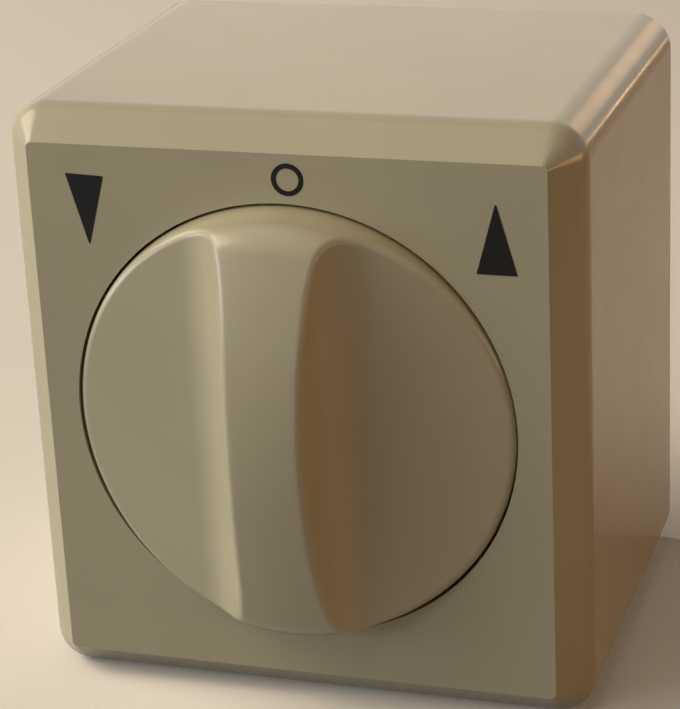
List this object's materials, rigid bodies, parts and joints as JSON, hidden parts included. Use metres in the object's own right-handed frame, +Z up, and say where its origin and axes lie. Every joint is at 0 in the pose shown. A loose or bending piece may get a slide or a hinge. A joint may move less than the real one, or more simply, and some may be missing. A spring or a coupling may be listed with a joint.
{
  "type": "rotary switch",
  "caption": "Cube-shaped surface-mounted rotary switch with a large round grip knob that turns between down, off and up.",
  "frame": {"origin": "centre of the back, on the wall plane, in line with the knob's axis", "axes": "+Z up, +X to the right as seen from the front, +Y into the wall, the knob looks along -Y"},
  "size_m": [0.07, 0.0653, 0.074],
  "materials": {
    "base": "cream moulded plastic, matt",
    "block": "dark moulded insulating plastic",
    "brass": "bright brass",
    "bronze": "phosphor bronze strip",
    "cover": "cream moulded plastic, semi-gloss",
    "knob": "cream moulded plastic, semi-gloss",
    "lid": "dark grey moulded plastic",
    "rotor": "natural white low-friction plastic",
    "spring": "hardened spring steel",
    "steel": "zinc-plated steel"
  },
  "bodies": {
    "housing": {"housing_cover": "cover", "cover_screws": "steel", "base_plate": "base", "switch_body": "block", "switch_lid": "lid", "lid_screws": "steel", "body_screws": "steel", "down_terminal": "brass", "common_terminal": "brass", "up_terminal": "brass", "terminal_screws": "steel", "down_contact": "bronze", "common_contact": "bronze", "up_contact": "bronze", "detent_spring": "spring"},
    "turning_knob": {"rotor": "rotor", "contact_segment": "brass", "spindle": "steel", "spindle_clip": "spring", "knob": "knob", "knob_clip": "spring"}
  },
  "joints": [
    {"name": "knob_turn", "type": "hinge", "parent": "housing", "child": "turning_knob", "pos_m": [0, 0, 0], "axis": [0, 1, 0], "range_deg": [-45, 45], "deforming": ["detent_spring"]}
  ]
}
